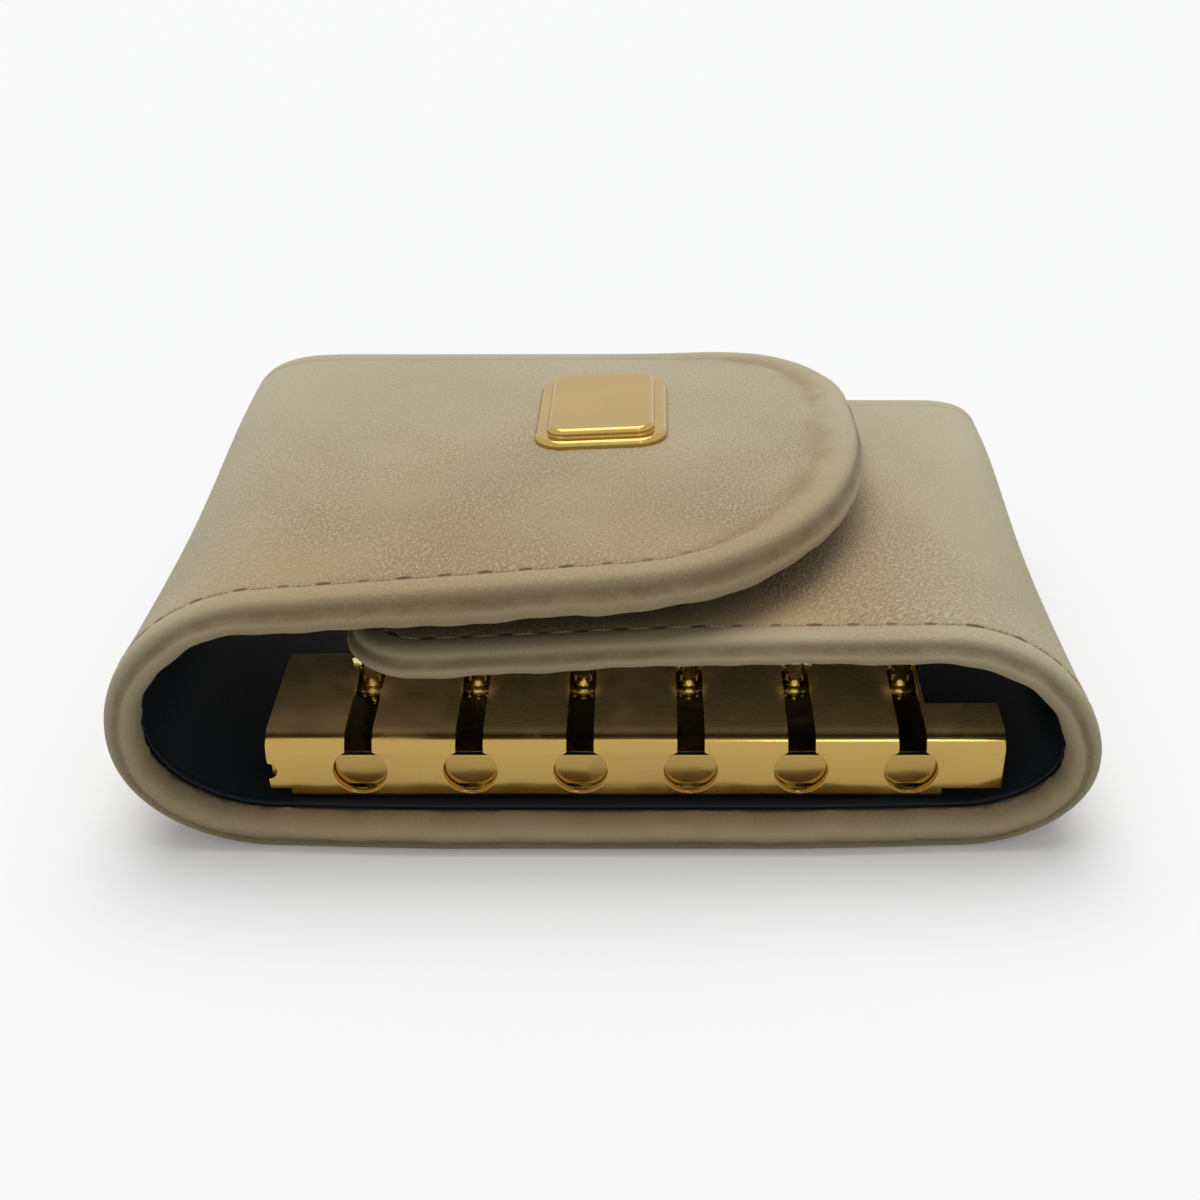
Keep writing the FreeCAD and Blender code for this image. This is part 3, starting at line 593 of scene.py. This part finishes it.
# Slow swells of the padding, none on the flat back that the case lies on
def softPuff(place):
    swell = 0.12 * math.sin(place[0] * 0.11 + 1.3) * math.sin(place[1] * 0.09 + 0.4)
    return swell * smooth(abs(place[0]), 34, 48)


# Length along the edge profile from the seam to the outermost point
def rimAtStitch(profile):
    steps = [math.hypot(b[0] - a[0], b[1] - a[1]) for a, b in zip(profile, profile[1:])]
    outermost = min(range(len(profile)), key=lambda k: profile[k][0])
    seam = min(range(outermost + 1), key=lambda k: abs(profile[k][0] - caseForm["stitch"]))
    return sum(steps[seam:outermost])


# Stitches in the crease of the seam, each a short length of thread with its ends down in the holes
threadForm = {"radius": 0.26, "length": 3.3, "lie": 0.17, "dip": 0.42, "sink": 0.4, "sides": 7, "rings": 9}


def threadShell():
    grid, loop = patternGrid()
    line, ways = np.array(seamPath(grid, loop)), np.array([way for _, _, way in loop])
    along = seamLength(line)
    pitch, sides, rings = leatherLook["stitchPitch"], threadForm["sides"], threadForm["rings"]
    flatPlaces, depths, turns, alongs, faces = [], [], [], [], []
    for number in range(int(along[-1] / pitch)):
        first = len(depths)
        for share in np.linspace(-1, 1, rings):
            here = (number + 0.5) * pitch + share * threadForm["length"] / 2
            spot = np.array([np.interp(here, along, line[:, k]) for k in (0, 1)])
            way = np.array([np.interp(here, along, ways[:, k]) for k in (0, 1)])
            thick = threadForm["radius"] * math.sqrt(max(0.06, 1 - share ** 6))
            # Pulled down out of sight at the round end and away from the front
            hidden = max(roundEnd(spot[0]), smooth(spot[1], -24, -6))
            middle = threadForm["lie"] + threadForm["sink"] * hidden + threadForm["dip"] * share ** 4
            for k in range(sides):
                angle = 2 * math.pi * k / sides
                flatPlaces.append(spot + way * thick * math.cos(angle))
                depths.append(middle - thick * math.sin(angle))
                turns.append(k / sides)
                alongs.append(here)
        for r in range(rings - 1):
            for k in range(sides):
                m = (k + 1) % sides
                a, b = first + r * sides, first + (r + 1) * sides
                faces.append((a + k, b + k, b + m, a + m))
        faces.append(tuple(first + k for k in range(sides)))
        faces.append(tuple(first + (rings - 1) * sides + k for k in reversed(range(sides))))
    places = np.array(flatPlaces)
    points = foldPoints(places[:, 0], places[:, 1], np.array(depths))
    return {"points": points, "faces": faces, "uv": places * mm, "rim": np.array(turns),
            "along": np.array(alongs), "s": places[:, 0]}


beigeLeather = leatherFinish(rimAtStitch(edgeProfile["leather"]), -patternStops("left")[2] * mm)
cutStrip("leather", patternShell(edgeProfile["leather"], softPuff, True), beigeLeather, stripNodes)
cutStrip("thread", threadShell(), threadFinish(), None)
liningShell = patternShell(edgeProfile["lining"], lambda place: 0.0, False)
cutStrip("lining", liningShell, liningFinish(), liningNodes)
print("leather and lining made")


# Metal: smears and fine wear on the gold; on the bar's top plate a pale, less metallic colour stands in for the
# leather it reflects: painted reflection
metalLook = {
    "gold": srgb(185, 154, 87), "dull": srgb(196, 157, 95), "top": srgb(238, 196, 134),
    "pale": srgb(228, 212, 150), "steel": srgb(196, 190, 176),
    "plate": (0.0096, 0.0106),                # metres: the top plate with the painted reflection lies above these
    "edge": 0.12, "weld": 0.002,              # millimetres: width of the bevels, merging distance
    "barLean": 8.0, "stripLean": 5.0,         # degrees: lean of the worn fronts
    "flat": 0.4, "sharp": 32.0,               # degrees: faces joined below, edges kept above
}


def goldFinish(name, lean=0.0, base="gold"):
    look = Finish(name)
    place = look.node("TexCoord", {}, output=3)
    smear = look.noise(place, 130.0, 3.0, 0.6, 0.4)
    scratch = look.noise(look.stretch(place, (90, 2600, 2600)), 1.0, 2.0, 0.6)
    marks = look.span(smear, 0.45, 0.7)
    rough = 0.13 + 0.1 * marks + 0.06 * look.span(scratch, 0.5, 0.72)
    colour = look.tint(marks * 0.3, metalLook[base], metalLook["dull"])
    metal = 1 - 0.1 * marks
    if not lean:
        return look.surface(Base_Color=colour, Metallic=metal, Roughness=rough)
    facing = look.node("SeparateXYZ", {}, {"Vector": look.node("NewGeometry", {}, output=1)}, 2)
    upward = look.node("SeparateXYZ", {}, {"Vector": place}, 2)
    # Upward faces of the top plate: painted reflection of the leather above, as a pale diffuse colour
    top = look.span(facing, 0.8, 0.98) * look.span(upward, *metalLook["plate"])
    colour = look.tint(top * (0.6 + 0.3 * marks), colour, metalLook["top"])
    leaning = look.bump(upward * -math.tan(math.radians(lean)), 1.0, 1.0)
    return look.surface(Base_Color=colour, Metallic=metal - top * (0.68 + 0.1 * marks),
                        Roughness=rough + 0.14 * top, Normal=leaning)


def steelFinish():
    look = Finish("springSteel")
    place = look.node("TexCoord", {}, output=3)
    brushed = look.noise(look.stretch(place, (200, 2600, 2600)), 1.0, 2.0)
    return look.surface(Base_Color=metalLook["steel"], Metallic=1.0, Roughness=0.22 + 0.16 * brushed)


# Shades a solid smooth up to an angle, so that only its real edges show
def smoothShading():
    tree = bpy.data.node_groups.new("smoothShading", "GeometryNodeTree")
    tree.interface.new_socket("Geometry", in_out="INPUT", socket_type="NodeSocketGeometry")
    tree.interface.new_socket("Geometry", in_out="OUTPUT", socket_type="NodeSocketGeometry")
    start, finish = tree.nodes.new("NodeGroupInput"), tree.nodes.new("NodeGroupOutput")
    faces, edges = tree.nodes.new("GeometryNodeSetShadeSmooth"), tree.nodes.new("GeometryNodeSetShadeSmooth")
    edges.domain = "EDGE"
    angle, sharp = tree.nodes.new("GeometryNodeInputMeshEdgeAngle"), tree.nodes.new("FunctionNodeCompare")
    sharp.operation = "LESS_THAN"
    sharp.inputs[1].default_value = math.radians(metalLook["sharp"])
    tree.links.new(start.outputs[0], faces.inputs[0])
    tree.links.new(faces.outputs[0], edges.inputs[0])
    tree.links.new(angle.outputs[0], sharp.inputs[0])
    tree.links.new(sharp.outputs[0], edges.inputs["Shade Smooth"])
    tree.links.new(edges.outputs[0], finish.inputs[0])
    return tree


finishes = {"gold": goldFinish("polishedGold"), "steel": steelFinish(),
            "hook": goldFinish("hookGold", 0.0, "pale"),
            "key_bar": goldFinish("barGold", metalLook["barLean"]),
            "lock_strip": goldFinish("stripGold", metalLook["stripLean"])}
shading = smoothShading()
slots = {part["node"]: part["material_slot"] for part in frame["record"]["subparts"]}
for name, thing in frame["nodes"].items():
    if slots[name] in ("gold", "steel"):
        thing.data.materials.clear()
        kind = "hook" if name.startswith("hook_") and slots[name] == "gold" else slots[name]
        thing.data.materials.append(finishes.get(name, finishes[kind]))
        weld = thing.modifiers.new("weld", "WELD")
        weld.merge_threshold = metalLook["weld"] * mm
        flat = thing.modifiers.new("flat", "DECIMATE")
        flat.decimate_type, flat.angle_limit = "DISSOLVE", math.radians(metalLook["flat"])
        bevel = thing.modifiers.new("bevel", "BEVEL")
        bevel.width, bevel.segments, bevel.limit_method = metalLook["edge"] * mm, 2, "ANGLE"
        bevel.angle_limit, bevel.use_clamp_overlap = math.radians(metalLook["sharp"]), True
        soft = thing.modifiers.new("shading", "NODES")
        soft.node_group = shading
        weighted = thing.modifiers.new("weighted", "WEIGHTED_NORMAL")
        weighted.keep_sharp, weighted.weight = True, 90
print("metal finished")


# Floor, light and camera, in metres
stageLook = {
    "floorHalf": 2.0, "underCase": (0.046, 0.031, 0), "nearFade": (0.0, 0.024), "farFade": (0.45, 1.7),
    "glow": (0.14, 0.5, 0.36),                    # shares under the case, beside it and far from it
    "white": (0.97, 0.97, 0.97, 1), "bounce": (0.5, 0.5, 0.5, 1),
    "skyLight": (0.96, 0.98, 1.0, 1), "skyStrength": 0.36,
}


def seenDirectly(look):
    names = ("Is Camera Ray", "Is Glossy Ray", "Is Transmission Ray")
    rays = [look.node("LightPath", {}, {}, name) for name in names]
    return (rays[0] + rays[1] + rays[2]).clip()


def floorFinish():
    look = Finish("paleFloor")
    seen = seenDirectly(look)
    spot = look.node("TexCoord", {}, output=3)
    beyond = look.node("VectorMath", {"operation": "ABSOLUTE"}, {0: spot})
    beyond = look.node("VectorMath", {"operation": "SUBTRACT"}, {0: beyond, 1: stageLook["underCase"]})
    beyond = look.node("VectorMath", {"operation": "MAXIMUM"}, {0: beyond, 1: (0, 0, 0)})
    distance = look.node("VectorMath", {"operation": "LENGTH"}, {0: beyond}, 1)
    away, far = look.span(distance, *stageLook["nearFade"]), look.span(distance, *stageLook["farFade"])
    lit = look.node("BsdfDiffuse", {}, {"Color": look.tint(seen, stageLook["bounce"], stageLook["white"])})
    glow = look.node("Emission", {}, {"Color": stageLook["white"], "Strength": 1.0})
    under, beside, horizon = stageLook["glow"]
    share = seen * (under + beside * away + horizon * far)
    mixed = look.node("MixShader", {}, {0: share, 1: lit, 2: glow})
    look.node("OutputMaterial", {}, {"Surface": mixed})
    return look.material


half = stageLook["floorHalf"]
floorCorners = [(-half, -half, 0), (half, -half, 0), (half, half, 0), (-half, half, 0)]
floor = newMesh("floor", floorCorners, [(0, 1, 2, 3)])
floor.data.materials.append(floorFinish())


def worldFinish():
    world = bpy.data.worlds.new("studio")
    bpy.context.scene.world = world
    world.use_nodes = True
    look = Finish("studioWorld", world.node_tree)
    seen = seenDirectly(look)
    dim = look.node("Background", {}, {"Color": stageLook["skyLight"], "Strength": stageLook["skyStrength"]})
    pale = look.node("Background", {}, {"Color": stageLook["white"], "Strength": 1.0})
    mixed = look.node("MixShader", {}, {0: seen, 1: dim, 2: pale})
    look.node("OutputWorld", {}, {"Surface": mixed})


worldFinish()


# A light that points at the middle of the case's footprint
def areaLight(name, place, size, power):
    lamp = bpy.data.lights.new(name, "AREA")
    lamp.shape, lamp.energy = "ELLIPSE", power
    lamp.size, lamp.size_y = size
    thing = bpy.data.objects.new(name, lamp)
    thing.location = place
    thing.rotation_euler = (-Vector(place)).to_track_quat("-Z", "Y").to_euler()
    bpy.context.scene.collection.objects.link(thing)


areaLight("overhead", (-0.12, 0.5, 2.6), (2.6, 2.6), 50.0)
areaLight("glint", (0.19, -0.53, 0.9), (0.24, 0.06), 0.3)

cameraPlace = {"place": (4.5, -165.75, 113.9), "down": 32.0, "lens": 49.8, "shift": -50 / 1200}
camera = bpy.data.objects.new("camera", bpy.data.cameras.new("camera"))
camera.location = [c * mm for c in cameraPlace["place"]]
camera.rotation_euler = (math.radians(90 - cameraPlace["down"]), 0, 0)
camera.data.lens, camera.data.sensor_width = cameraPlace["lens"], 36.0
camera.data.shift_x = cameraPlace["shift"]
camera.data.clip_start = 0.005
bpy.context.scene.collection.objects.link(camera)
bpy.context.scene.camera = camera
bpy.context.scene.view_settings.view_transform = "Standard"
